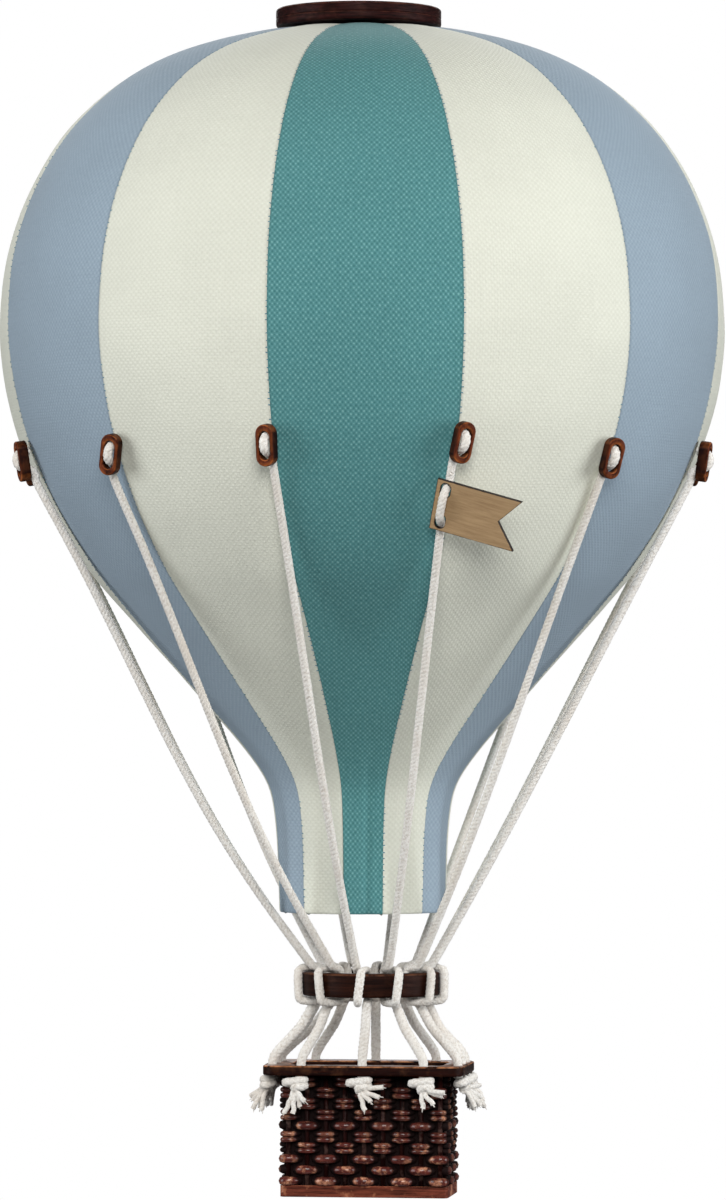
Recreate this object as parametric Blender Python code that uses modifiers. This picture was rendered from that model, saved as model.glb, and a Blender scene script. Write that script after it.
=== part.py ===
import bpy
import bmesh
import math
from mathutils import Vector, Matrix

# Decorative hot air balloon, 330 mm tall, hanging from its top disc. Metres, +Z up, front towards -Y.
# The origin is on the top disc's upper face, on the envelope's axis. The sizes below are in millimetres.

mm = 0.001

discX = -1.0
discRadius = 23.0
discThick = 5.1
discEdge = 0.7
shellThick = 2.4
goreCount = 12
goreSteps = 4
goreTurn = 0.5
goreSpread = 1.0
spreadShare = 0.98
outlineStep = 15.0
eyeletHeight = 11.2
eyeletWidth = 5.3
eyeletThick = 3.0
slotHeight = 7.6
slotWidth = 3.1
eyeletR = 96.9
eyeletZ = -126.3
eyeletRise = 0.37
eyeletTilt = 8.5
ropeRadius = 1.25
sagOut = 2.1
sagDown = 1.2
sagLow = 1.7
stretchSteps = 7
landRadius = 18.5
landHeight = 3.7
landAside = 1.5
ringX = 2.4
ringOuter = 19.2
ringInner = 15.0
ringTop = -267.8
ringBottom = -274.5
ringEdge = 0.5
basketX = 1.9
basketTurn = -7.7
basketWidth = 47.3
basketDepth = 24.2
wallThick = 2.2
rimWidth = 56.0
rimDepth = 32.6
rimTop = -293.4
rimThick = 2.8
rimCorner = 4.0
openCorner = 1.5
wallCorner = 1.8
innerCorner = 0.8
baseInset = 0.2
baseCorner = 1.6
baseThick = 3.2
basketBottom = -330.0
holeRadius = 1.5
holeFront = 14.3
holeSide = 25.85
tagLine = (-0.157, 0.430, -0.892)
tagSwing = 32.0
tagThick = 1.0
tagOffset = 1.95
tagHalf = 7.2
tagLeft = -2.6
tagRight = 21.0
tagNotch = 15.6
slitAt = 4.45
slitWide = 3.1
slitTall = 4.6
cordHalf = 9.0
cordDown = 9.85
cordAside = 0.35
gap = 0.3

# Stations of the envelope's outline: radius, height
stations = [
    (6.0, -5.5), (23.0, -6.1), (44.7, -10.5), (65.6, -19.5), (81.8, -33.8), (93.2, -52.5),
    (99.4, -73.3), (100.5, -95.0), (96.4, -117.5), (88.6, -136.5), (75.5, -157.2), (55.0, -180.6),
    (34.4, -204.0), (25.6, -217.0), (23.5, -232.0), (22.9, -251.1),
]

# Ropes: name, eyelet's angle, height, facing and lean, angle on the ring, rim hole x and y in the basket,
# outward side, side it leads on, how far its stretch drifts towards +X
stays = [
    ("stay_01", 15.7, -124.4, 28.0, 9.0, 21, 17.0, -holeFront, (0, -1), -1, -0.4),
    ("stay_02", 43.8, -127.6, 28.0, 11.0, 53, holeSide, -8.6, (1, 0), -1, -0.9),
    ("stay_03", 76.0, -126.8, 76.0, 0.0, 81, holeSide, 0.0, (1, 0), -1, -1.8),
    ("stay_04", 105.0, -126.3, 105.0, 0.0, 109, holeSide, 8.6, (1, 0), -1, -1.8),
    ("stay_05", 135.0, -126.3, 135.0, 0.0, 139, 17.0, holeFront, (0, 1), -1, -1.8),
    ("stay_06", 165.0, -126.3, 165.0, 0.0, 170, 0.0, holeFront, (0, 1), -1, -0.8),
    ("stay_07", 195.0, -126.3, 195.0, 0.0, 203, -17.0, holeFront, (0, 1), -1, 0.0),
    ("stay_08", 225.0, -126.3, 225.0, 0.0, 228, -holeSide, 8.6, (-1, 0), 1, -1.2),
    ("stay_09", 255.0, -126.3, 255.0, 0.0, 256, -holeSide, 0.0, (-1, 0), 1, -1.8),
    ("stay_10", 285.5, -126.8, 285.5, 0.0, 282, -holeSide, -8.6, (-1, 0), 1, -1.8),
    ("stay_11", 316.0, -126.6, 332.0, 11.0, 316, -17.0, -holeFront, (0, -1), 1, -1.2),
    ("stay_12", 345.0, -125.1, 332.0, 2.0, 351, 0.0, -holeFront, (0, -1), -1, -0.2),
]

# Way of a rope through its eyelet: down the eyelet, out of it
eyeletWay = [(-2.6, -2.1), (-2.5, -0.4), (-1.3, 1.3), (0.6, 1.35), (1.9, 0.1), (2.4, -1.5),
             (3.3, -2.7), (5.0, -3.05), (7.6, -3.5)]

# Turn of a rope around the load ring: radius, height, sideways
ringWay = [
    (16.4, ringTop + 1.75, 1.55), (14.2, ringTop + 1.25, 1.6), (13.5, ringTop - 0.5, 1.6),
    (13.5, ringBottom + 0.5, 1.6), (14.1, ringBottom - 1.2, 1.55), (15.7, ringBottom - 1.6, 1.3),
    (18.4, ringBottom - 1.6, 0.8), (20.2, ringBottom - 1.2, 0.55), (20.8, ringBottom + 0.5, 0.4),
    (20.8, ringTop - 0.5, -0.35), (20.2, ringTop + 1.2, -0.55), (18.4, ringTop + 1.65, -0.95),
    (16.0, ringTop + 1.6, -1.2), (14.1, ringTop + 1.2, -1.3), (13.5, ringTop - 0.5, -1.3),
    (13.5, ringBottom + 0.6, -1.3), (14.1, ringBottom - 1.0, -1.3), (15.7, ringBottom - 2.1, -1.35),
]

# Way from the ring to the rim: share of the height, share of the distance across
dropWay = [(0.12, 0.10), (0.40, 0.33), (0.65, 0.64), (0.85, 0.89), (1.0, 1.0)]

# Knot and tassel under the rim: outwards, below the rim, share of the rope's radius
knotWay = [(0.0, 0.1, 1.0), (0.2, 0.8, 1.35), (0.5, 1.5, 1.85), (0.55, 2.9, 1.85), (0.5, 3.8, 1.1),
           (0.7, 5.4, 1.0), (1.4, 9.2, 1.5)]

# Way of the rope through the tag's two slits: along the tag, out of it
tagWay = [(-9.0, 0.0), (-7.0, 0.0), (-5.6, 0.85), (-4.4, 2.1), (-3.2, 3.3), (-1.9, 3.8),
          (1.9, 3.8), (3.2, 3.3), (4.4, 2.1), (5.6, 0.85), (7.0, 0.0), (9.0, 0.0)]

# Colour and roughness of each kind of piece
finishes = {
    "teal": ((0.075, 0.30, 0.30), 0.85),
    "cream": ((0.66, 0.66, 0.56), 0.85),
    "blue": ((0.27, 0.40, 0.50), 0.85),
    "wood": ((0.07, 0.018, 0.010), 0.35),
    "rope": ((0.74, 0.72, 0.67), 0.9),
    "tag": ((0.52, 0.36, 0.20), 0.6),
}
goreColours = ["teal", "cream", "blue", "cream"]

for old in list(bpy.data.objects):
    bpy.data.objects.remove(old, do_unlink=True)

balloon = bpy.data.collections.new("hot_air_balloon")
bpy.context.scene.collection.children.link(balloon)


def setUp(obj, name, kind):
    obj.name = name
    if balloon not in obj.users_collection:
        for home in obj.users_collection:
            home.objects.unlink(obj)
        balloon.objects.link(obj)
    colour, rough = finishes[kind]
    mat = bpy.data.materials.new(name)
    mat.use_nodes = True
    shader = mat.node_tree.nodes["Principled BSDF"]
    shader.inputs["Base Color"].default_value = (*colour, 1.0)
    shader.inputs["Roughness"].default_value = rough
    shader.inputs["Metallic"].default_value = 0.0
    obj.data.materials.append(mat)
    return obj


def addProfile(name, points, closed, kind):
    # Points in the XZ plane joined by edges, ready to be turned
    mesh = bpy.data.meshes.new(name)
    bm = bmesh.new()
    line = [bm.verts.new((x * mm, 0.0, z * mm)) for x, z in points]
    for a, b in zip(line, line[1:]):
        bm.edges.new((a, b))
    if closed:
        bm.edges.new((line[-1], line[0]))
    bm.to_mesh(mesh)
    bm.free()
    return setUp(bpy.data.objects.new(name, mesh), name, kind)


def addTurn(obj, degrees, steps):
    screw = obj.modifiers.new("turn", "SCREW")
    screw.axis = "Z"
    screw.angle = math.radians(degrees)
    screw.steps = steps
    screw.render_steps = steps
    screw.merge_threshold = 0.00001
    return screw


def addPlate(name, loops, thick, kind):
    # A flat outline with its holes, thick along its own Z
    curve = bpy.data.curves.new(name, "CURVE")
    curve.dimensions = "2D"
    curve.fill_mode = "BOTH"
    curve.extrude = thick / 2 * mm
    for loop in loops:
        line = curve.splines.new("POLY")
        line.points.add(len(loop) - 1)
        for point, (x, y) in zip(line.points, loop):
            point.co = (x * mm, y * mm, 0.0, 1.0)
        line.use_cyclic_u = True
    return setUp(bpy.data.objects.new(name, curve), name, kind)


def addRope(name, way):
    # A rope along points, each with its share of the rope's radius
    curve = bpy.data.curves.new(name, "CURVE")
    curve.dimensions = "3D"
    curve.bevel_depth = ropeRadius * mm
    curve.bevel_resolution = 2
    curve.use_fill_caps = True
    line = curve.splines.new("POLY")
    line.points.add(len(way) - 1)
    for point, (spot, share) in zip(line.points, way):
        point.co = (spot.x * mm, spot.y * mm, spot.z * mm, 1.0)
        point.radius = share
    line.use_smooth = True
    return setUp(bpy.data.objects.new(name, curve), name, "rope")


def addEmpty(name, place):
    empty = bpy.data.objects.new(name, None)
    empty.empty_display_size = 0.01
    balloon.objects.link(empty)
    empty.matrix_world = place
    return empty


def circle(cx, cy, radius, count):
    turns = [2 * math.pi * i / count for i in range(count)]
    return [(cx + radius * math.cos(a), cy + radius * math.sin(a)) for a in turns]


def stadium(height, width, count):
    points = []
    for i in range(count):
        a = 2 * math.pi * (i + 0.5) / count
        x, y = width / 2 * math.cos(a), width / 2 * math.sin(a)
        points.append((x, y + math.copysign((height - width) / 2, y)))
    return points


def roundedRect(width, depth, radius, steps):
    points = []
    for sx, sy, start in ((1, 1, 0), (-1, 1, 90), (-1, -1, 180), (1, -1, 270)):
        for i in range(steps + 1):
            a = math.radians(start + 90.0 * i / steps)
            points.append((sx * (width / 2 - radius) + radius * math.cos(a),
                           sy * (depth / 2 - radius) + radius * math.sin(a)))
    return points


def direction(angle):
    # Outward and sideways at an angle that is 0 at the front and grows towards +X
    a = math.radians(angle)
    return Vector((math.sin(a), -math.cos(a), 0.0)), Vector((math.cos(a), math.sin(a), 0.0))


def smoothLine(points, step):
    # A smooth line through the points, cut into pieces about step long
    ends = [points[0] * 2 - points[1]] + points + [points[-1] * 2 - points[-2]]
    result = []
    for i in range(len(points) - 1):
        p0, p1, p2, p3 = ends[i:i + 4]
        count = max(1, round((p2 - p1).length / step))
        for k in range(count):
            t = k / count
            result.append(0.5 * (2 * p1 + (p2 - p0) * t + (2 * p0 - 5 * p1 + 4 * p2 - p3) * t * t
                                 + (3 * p1 - p0 - 3 * p2 + p3) * t ** 3))
    result.append(points[-1])
    return result


# Envelope: twelve gores, each a turned twelfth of the outline made into a shell
outline = [tuple(p) for p in smoothLine([Vector((r - goreSpread * spreadShare, z)) for r, z in stations],
                                      outlineStep)]
for index in range(goreCount):
    middle = goreTurn + index * 360.0 / goreCount
    half = 180.0 / goreCount
    gore = addProfile("gore_%02d" % (index + 1), outline, False, goreColours[index % 4])
    out, side = direction(middle)
    gore.location = out * goreSpread * mm
    gore.rotation_euler = (0.0, 0.0, math.radians(middle - half - 90.0))
    screw = addTurn(gore, 2 * half, goreSteps)
    screw.use_smooth_shade = True
    shell = gore.modifiers.new("shell", "SOLIDIFY")
    shell.thickness = shellThick * mm
    shell.offset = -1.0
    shell.use_even_offset = True

# Top disc
bpy.ops.mesh.primitive_cylinder_add(vertices=48, radius=discRadius * mm, depth=discThick * mm,
                                    location=(discX * mm, 0.0, -discThick / 2 * mm))
disc = setUp(bpy.context.object, "top_disc", "wood")
disc.data.shade_smooth()
disc.data.set_sharp_from_angle(angle=math.radians(30))
edge = disc.modifiers.new("edge", "BEVEL")
edge.width = discEdge * mm
edge.segments = 2
edge.limit_method = "ANGLE"


def eyeletPlace(stay):
    # An eyelet's own axes: across it, up along its slot and out of its face
    name, angle, height, facing, lean = stay[:5]
    out, side = direction(angle)
    spot = out * (eyeletR + eyeletRise * (height - eyeletZ)) + Vector((0, 0, height))
    return (Matrix.Translation(spot) @ Matrix.Rotation(math.radians(facing), 4, "Z")
            @ Matrix.Rotation(math.radians(90 + eyeletTilt), 4, "X")
            @ Matrix.Rotation(math.radians(-lean), 4, "Z"))


# Eyelets on the seams
for stay in stays:
    eyelet = addPlate(stay[0].replace("stay", "eyelet"),
                      [stadium(eyeletHeight, eyeletWidth, 14), stadium(slotHeight, slotWidth, 12)],
                      eyeletThick, "wood")
    place = eyeletPlace(stay)
    eyelet.location = place.translation * mm
    eyelet.rotation_euler = place.to_euler()

# Load ring
ring = addProfile("load_ring", [(ringInner, ringTop - ringBottom), (ringOuter, ringTop - ringBottom),
                                (ringOuter, 0), (ringInner, 0)], True, "wood")
ring.location = (ringX * mm, 0.0, ringBottom * mm)
addTurn(ring, 360, 40)
edge = ring.modifiers.new("edge", "BEVEL")
edge.width = ringEdge * mm
edge.segments = 1
edge.limit_method = "ANGLE"

# Basket: base board, walls and the rim board with its rope holes
turn = Matrix.Rotation(math.radians(basketTurn), 4, "Z")
basket = addEmpty("basket", Matrix.Translation((basketX * mm, 0.0, 0.0)) @ turn)
openWidth = basketWidth - 2 * wallThick
openDepth = basketDepth - 2 * wallThick
wallTop = rimTop - rimThick - gap
wallBottom = basketBottom + baseThick + gap
holes = [circle(stay[6], stay[7], holeRadius, 12) for stay in stays]
base = addPlate("basket_base", [roundedRect(basketWidth - 2 * baseInset, basketDepth - 2 * baseInset,
                                              baseCorner, 3)], baseThick, "wood")
base.location.z = (basketBottom + baseThick / 2) * mm
wallLoops = [roundedRect(basketWidth, basketDepth, wallCorner, 3),
             roundedRect(openWidth, openDepth, innerCorner, 2)]
walls = addPlate("basket_walls", wallLoops, wallTop - wallBottom, "wood")
walls.location.z = (wallTop + wallBottom) / 2 * mm
rim = addPlate("basket_rim", [roundedRect(rimWidth, rimDepth, rimCorner, 4),
                              roundedRect(openWidth, openDepth, openCorner, 2)] + holes, rimThick, "wood")
rim.location.z = (rimTop - rimThick / 2) * mm
for piece in (base, walls, rim):
    piece.parent = basket


def basketPoint(x, y, z):
    return turn @ Vector((x, y, 0)) + Vector((basketX, 0, z))


def ringPoint(angle, radius, z, sideways):
    out, side = direction(angle)
    return Vector((ringX, 0, z)) + out * radius + side * sideways


def stretchWay(stay, start):
    # The free stretch from start to the ring, sagging most below its middle
    ringAngle, lead, drift = stay[5], stay[9], stay[10]
    end = ringPoint(ringAngle, landRadius, ringTop + landHeight, lead * landAside)
    out, side = direction((stay[1] + ringAngle) / 2)
    sag = out * sagOut + Vector((drift, 0, -sagDown))
    shares = [k / stretchSteps for k in range(1, stretchSteps + 1)]
    return [(start.lerp(end, t) + sag * math.sin(math.pi * t ** sagLow), 1.0) for t in shares]


def stayWay(stay, start=None):
    # The rope through its eyelet, then down to the ring, around it and down to its knot
    name, angle, height, facing, lean, ringAngle, holeX, holeY, outward, lead, drift = stay
    place = eyeletPlace(stay)
    head = [(place @ Vector((0, -down, outBy)), 1.0) for down, outBy in eyeletWay]
    rest = stretchWay(stay, start or head[-1][0])
    rest += [(ringPoint(ringAngle, radius, z, lead * sideways), 1.0) for radius, z, sideways in ringWay]
    under = rest[-1][0]
    hole = basketPoint(holeX, holeY, rimTop + 1.0)
    for down, over in dropWay:
        spot = under.lerp(hole, over)
        spot.z = under.z + (hole.z - under.z) * down
        rest.append((spot, 1.0))
    away = turn @ Vector((outward[0], outward[1], 0))
    for push, below, share in knotWay:
        rest.append((basketPoint(holeX, holeY, rimTop - rimThick - below) + away * push, share))
    return head, rest


for stay in stays[1:]:
    head, rest = stayWay(stay)
    addRope(stay[0], head + rest)

# The first rope carries the flag tag: it is cut above and below the stretch that turns with the tag
along = Vector(tagLine).normalized()
exitSpot = eyeletPlace(stays[0]) @ Vector((0, -eyeletWay[-1][0], eyeletWay[-1][1]))
tagCentre = exitSpot + along * cordDown + Vector((cordAside, 0, 0))
tailStart = tagCentre + along * (cordHalf + gap)
head, rest = stayWay(stays[0], tailStart)
addRope("stay_01_head", head[:-1] + [(tagCentre - along * (cordHalf + gap), 1.0)])
addRope("stay_01_tail", [(tailStart, 1.0)] + rest)

# The tag's frame: across it, up the rope and out of its face
out, side = direction(stays[0][1])
outward = (out - along * out.dot(along)).normalized()
swing = math.radians(tagSwing)
right = outward.cross(along) * math.cos(swing) + outward * math.sin(swing)
face = along.cross(right)
tagAxes = Matrix((right, -along, face)).transposed().to_4x4()
tag = addEmpty("tag", Matrix.Translation(tagCentre * mm) @ tagAxes)
cord = addRope("tag_cord", [(Vector((0, a, m)), 1.0) for a, m in tagWay])
pennant = [(tagLeft, -tagHalf), (tagRight, -tagHalf), (tagNotch, 0.0), (tagRight, tagHalf),
           (tagLeft, tagHalf)]
corners = [(-1, -1), (1, -1), (1, 1), (-1, 1)]
slits = [[(x * slitWide / 2, sign * slitAt + y * slitTall / 2) for x, y in corners] for sign in (-1, 1)]
plate = addPlate("tag_plate", [pennant] + slits, tagThick, "tag")
plate.location.z = tagOffset * mm
for piece in (cord, plate):
    piece.parent = tag
print("tag centre", [round(v, 3) for v in tagCentre], "axis", [round(v, 5) for v in along],
      "right", [round(v, 3) for v in right], "face", [round(v, 3) for v in face])
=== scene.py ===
# Hot air balloon ornament: twelve sewn cotton gores under a wooden disc, with a wicker basket on ropes.
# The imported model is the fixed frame. Shapes are in millimetres until a mesh is finished; materials,
# camera and lamps are in metres.
import bpy
import bmesh
import math
import random
from mathutils import Matrix, Vector, noise


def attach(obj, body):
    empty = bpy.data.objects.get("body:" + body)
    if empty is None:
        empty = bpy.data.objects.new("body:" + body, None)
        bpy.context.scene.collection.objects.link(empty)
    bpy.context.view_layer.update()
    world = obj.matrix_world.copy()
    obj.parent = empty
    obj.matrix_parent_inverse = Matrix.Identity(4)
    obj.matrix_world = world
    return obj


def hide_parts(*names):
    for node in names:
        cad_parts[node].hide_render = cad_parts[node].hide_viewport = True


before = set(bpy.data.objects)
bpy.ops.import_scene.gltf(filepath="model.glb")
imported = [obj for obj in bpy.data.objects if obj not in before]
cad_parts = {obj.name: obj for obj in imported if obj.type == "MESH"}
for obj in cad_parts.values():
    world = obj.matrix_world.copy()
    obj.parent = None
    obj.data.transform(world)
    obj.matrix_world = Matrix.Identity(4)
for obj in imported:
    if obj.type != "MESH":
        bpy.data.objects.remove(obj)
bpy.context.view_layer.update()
mm = 0.001
print("frame loaded:", len(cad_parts), "nodes")

# Where the basket hangs under the ring, and how far it is turned
basketHang = {"x": 1.9, "turn": -7.7}


# Camera: level with the neck, looking at the front
cameraSettings = {"place": (0.0002, -1.735, -0.1904), "lens": 186.9, "sensor": 36.0, "rise": 0.0775}


def makeCamera(look):
    data = bpy.data.cameras.new("camera")
    data.sensor_fit = "AUTO"
    data.sensor_width = look["sensor"]
    data.lens = look["lens"]
    data.shift_y = look["rise"]
    data.clip_start = 0.05
    data.clip_end = 100.0
    camera = bpy.data.objects.new("camera", data)
    camera.location = look["place"]
    camera.rotation_euler = (math.radians(90), 0.0, 0.0)
    bpy.context.scene.collection.objects.link(camera)
    bpy.context.scene.camera = camera


makeCamera(cameraSettings)
bpy.context.scene.view_settings.view_transform = "Standard"


def direction(angle):
    # Outward and sideways at an angle that is 0 at the front and grows towards +X
    a = math.radians(angle)
    return Vector((math.sin(a), -math.cos(a), 0.0)), Vector((math.cos(a), math.sin(a), 0.0))


def clamped(t):
    return min(max(t, 0.0), 1.0)


def eased(t):
    t = clamped(t)
    return t * t * (3 - 2 * t)


def smoothWay(points, step, closed=False):
    # A smooth line through the points, in even pieces about step long; a point may carry a fourth number
    points = [Vector(p) for p in points]
    if closed:
        ends = [points[-1]] + points + points[:2]
    else:
        ends = [points[0] * 2 - points[1]] + points + [points[-1] * 2 - points[-2]]
    fine = []
    for i in range(len(ends) - 3):
        p0, p1, p2, p3 = ends[i:i + 4]
        for k in range(24):
            t = k / 24
            fine.append(0.5 * (2 * p1 + (p2 - p0) * t + (2 * p0 - 5 * p1 + 4 * p2 - p3) * t * t
                               + (3 * p1 - p0 - 3 * p2 + p3) * t ** 3))
    fine.append(ends[-2].copy())
    lengths = [0.0]
    for a, b in zip(fine, fine[1:]):
        lengths.append(lengths[-1] + (b - a).xyz.length)
    count = max(1, round(lengths[-1] / step))
    result, at = [], 0
    for k in range(count if closed else count + 1):
        want = lengths[-1] * k / count
        while at < len(fine) - 2 and lengths[at + 1] < want:
            at += 1
        share = (want - lengths[at]) / max(lengths[at + 1] - lengths[at], 1e-9)
        result.append(fine[at].lerp(fine[at + 1], clamped(share)))
    return result


def plug(tree, inputs, values):
    # Each input takes a plain value, or a socket to link from
    for key, value in values.items():
        if isinstance(value, bpy.types.NodeSocket):
            tree.links.new(value, inputs[key])
        else:
            inputs[key].default_value = value


def addNode(tree, kind, inputs=None, **settings):
    node = tree.nodes.new(kind)
    for key, value in settings.items():
        setattr(node, key, value)
    plug(tree, node.inputs, inputs or {})
    return node


def addMath(tree, operation, a, b=0.0):
    return addNode(tree, "ShaderNodeMath", {0: a, 1: b}, operation=operation).outputs[0]


def multiply(tree, *values):
    result = values[0]
    for value in values[1:]:
        result = addMath(tree, "MULTIPLY", result, value)
    return result


def addMix(tree, factor, a, b, blend="MIX"):
    pair = [value if isinstance(value, bpy.types.NodeSocket) else (*value, 1.0) for value in (a, b)]
    return addNode(tree, "ShaderNodeMix", {0: factor, 6: pair[0], 7: pair[1]}, data_type="RGBA",
                   blend_type=blend).outputs[2]


def addRange(tree, value, low, high, newLow=0.0, newHigh=1.0):
    return addNode(tree, "ShaderNodeMapRange", {"Value": value, "From Min": low, "From Max": high,
                                                "To Min": newLow, "To Max": newHigh}).outputs["Result"]


def addNoise(tree, vector, scale, detail=2.0, rough=0.5):
    return addNode(tree, "ShaderNodeTexNoise", {"Vector": vector, "Scale": scale, "Detail": detail,
                                                "Roughness": rough}).outputs["Fac"]


def addMapping(tree, vector, scale):
    return addNode(tree, "ShaderNodeMapping", {"Vector": vector, "Scale": scale}).outputs[0]


def addBump(tree, height, strength, distance):
    return addNode(tree, "ShaderNodeBump", {"Height": height, "Strength": strength,
                                            "Distance": distance}).outputs[0]


def coordinates(tree, kind):
    return addNode(tree, "ShaderNodeTexCoord").outputs[kind]


def meshMark(tree, name):
    # A value from 0 to 1 that the mesh carries at its vertices
    return addNode(tree, "ShaderNodeAttribute", attribute_name=name).outputs["Fac"]


def splitVector(tree, vector):
    return addNode(tree, "ShaderNodeSeparateXYZ", {0: vector}).outputs


def darkened(tree, colour, level):
    shade = addNode(tree, "ShaderNodeCombineColor", {0: level, 1: level, 2: level}).outputs[0]
    return addMix(tree, 1.0, colour, shade, "MULTIPLY")


def newGroup(name, inputs, outputs):
    tree = bpy.data.node_groups.new(name, "ShaderNodeTree")
    for key, kind in inputs.items():
        tree.interface.new_socket(name=key, in_out="INPUT", socket_type="NodeSocket" + kind)
    for key in outputs:
        tree.interface.new_socket(name=key, in_out="OUTPUT", socket_type="NodeSocketFloat")
    return tree, tree.nodes.new("NodeGroupInput").outputs, tree.nodes.new("NodeGroupOutput").inputs


def addGroup(tree, group, inputs):
    return addNode(tree, "ShaderNodeGroup", inputs, node_tree=group).outputs


def newMaterial(name):
    mat = bpy.data.materials.new(name)
    mat.use_nodes = True
    tree = mat.node_tree
    return mat, tree, tree.nodes["Principled BSDF"].inputs


def makeWeaveGroup():
    # Plain weave on a vector in metres: where threads dip, for painted shade, where one lies on top, for a
    # painted highlight, and uneven thread lines
    tree, given, out = newGroup("plainWeave", {"Vector": "Vector", "Across": "Float", "Along": "Float",
                                               "Waver": "Float"}, ["DipShade", "TopHighlight", "Height", "Lines"])
    cloth = given["Vector"]
    shift = multiply(tree, addMath(tree, "SUBTRACT", addNoise(tree, cloth, 110.0), 0.5), given["Waver"])
    parts = splitVector(tree, cloth)
    across = addMath(tree, "ADD", multiply(tree, parts[0], given["Across"]), shift)
    along = addMath(tree, "ADD", multiply(tree, parts[1], given["Along"]), shift)
    waves = [addMath(tree, "SINE", multiply(tree, run, math.pi)) for run in (across, along)]
    crossed = multiply(tree, *waves)
    uneven = addRange(tree, addNoise(tree, cloth, 900.0, 1.0), 0.3, 0.7, -0.34, 0.34)
    over = addMath(tree, "ADD", crossed, uneven)
    dips = addRange(tree, over, 0.15, 0.80)
    pillow = addMath(tree, "POWER", addMath(tree, "ABSOLUTE", crossed), 0.6)
    upright = addNoise(tree, addMapping(tree, cloth, (1300.0, 25.0, 1.0)), 1.0, 1.0)
    level = addNoise(tree, addMapping(tree, cloth, (25.0, 1200.0, 1.0)), 1.0, 1.0)
    plug(tree, out, {
        "DipShade": dips,
        "TopHighlight": addRange(tree, over, -0.45, -0.95),
        "Height": addMath(tree, "SUBTRACT", pillow, multiply(tree, dips, 0.7)),
        "Lines": multiply(tree, addMath(tree, "ADD", upright, level), 0.5)})
    return tree


def makeGrainGroup():
    # Wood fibres on a stretched vector: broad streaks and fine pores
    tree, given, out = newGroup("woodGrain", {"Vector": "Vector", "Waviness": "Float"},
                                ["Streaks", "Pores", "Height"])
    warp = addNode(tree, "ShaderNodeTexNoise", {"Vector": given["Vector"], "Scale": 0.6, "Detail": 1.0})
    bend = addNode(tree, "ShaderNodeVectorMath", {0: warp.outputs["Color"], "Scale": given["Waviness"]},
                   operation="SCALE").outputs[0]
    vector = addNode(tree, "ShaderNodeVectorMath", {0: given["Vector"], 1: bend}).outputs[0]
    streaks = addRange(tree, addNoise(tree, vector, 1.0, 4.0, 0.6), 0.3, 0.7)
    pores = addRange(tree, addNoise(tree, vector, 5.0), 0.56, 0.7)
    height = addMath(tree, "SUBTRACT", multiply(tree, streaks, 0.5), pores)
    plug(tree, out, {"Streaks": streaks, "Pores": pores, "Height": height})
    return tree


def makeFibreGroup():
    # Cotton fibres: fine fuzz with slow stains
    tree, given, out = newGroup("cottonFibre", {"Vector": "Vector", "Scale": "Float"}, ["Fuzz", "Stain"])
    plug(tree, out, {"Fuzz": addNoise(tree, given["Vector"], given["Scale"], 4.0, 0.75),
                     "Stain": addNoise(tree, given["Vector"], 55.0)})
    return tree


weaveGroup = makeWeaveGroup()
grainGroup = makeGrainGroup()
fibreGroup = makeFibreGroup()
print("node groups made")


# Cotton colours: painted shade where threads dip, the cloth, a painted highlight on a thread on top. Across
# and along are threads in a metre
fabricSettings = {
    "teal": {"dip": (0.052, 0.182, 0.188), "cloth": (0.084, 0.247, 0.255), "top": (0.175, 0.385, 0.385),
             "across": 1430.0},
    "cream": {"dip": (0.650, 0.660, 0.570), "cloth": (0.690, 0.702, 0.612), "top": (0.735, 0.748, 0.660),
              "across": 1240.0},
    "blue": {"dip": (0.255, 0.328, 0.400), "cloth": (0.285, 0.365, 0.440), "top": (0.325, 0.412, 0.485),
             "across": 1430.0},
    "along": 1220.0, "waver": 0.9, "lines": 0.012, "cloud": 0.03, "seam": 0.20, "rough": 0.88,
    "relief": 0.00010,
}


def makeFabric(name, look, common):
    mat, tree, shader = newMaterial(name + "Cotton")
    uv = coordinates(tree, "UV")
    weave = addGroup(tree, weaveGroup, {"Vector": uv, "Across": look["across"], "Along": common["along"],
                                        "Waver": common["waver"]})
    # Painted shade where threads dip, and a painted highlight on threads on top
    colour = addMix(tree, weave["DipShade"], look["cloth"], look["dip"])
    colour = addMix(tree, weave["TopHighlight"], colour, look["top"])
    lines, cloud, rough = common["lines"], common["cloud"], common["rough"]
    streaks = addRange(tree, weave["Lines"], 0.36, 0.64, 1.0 - lines, 1.0 + lines)
    clouds = addRange(tree, addNoise(tree, uv, 38.0, 3.0), 0.3, 0.7, 1.0 - cloud, 1.0 + cloud)
    # Darker along the seams: painted shade in the seam's crease, and the seam's dark line
    seam = addRange(tree, meshMark(tree, "seam"), 0.2, 1.0, 1.0, 1.0 - common["seam"])
    plug(tree, shader, {
        "Base Color": darkened(tree, colour, multiply(tree, streaks, clouds, seam)),
        "Roughness": addRange(tree, weave["Lines"], 0.3, 0.7, rough - 0.06, rough + 0.06),
        "Sheen Weight": 0.08, "Sheen Roughness": 0.5, "Specular IOR Level": 0.2,
        "Normal": addBump(tree, weave["Height"], 0.8, common["relief"])})
    return mat
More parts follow.
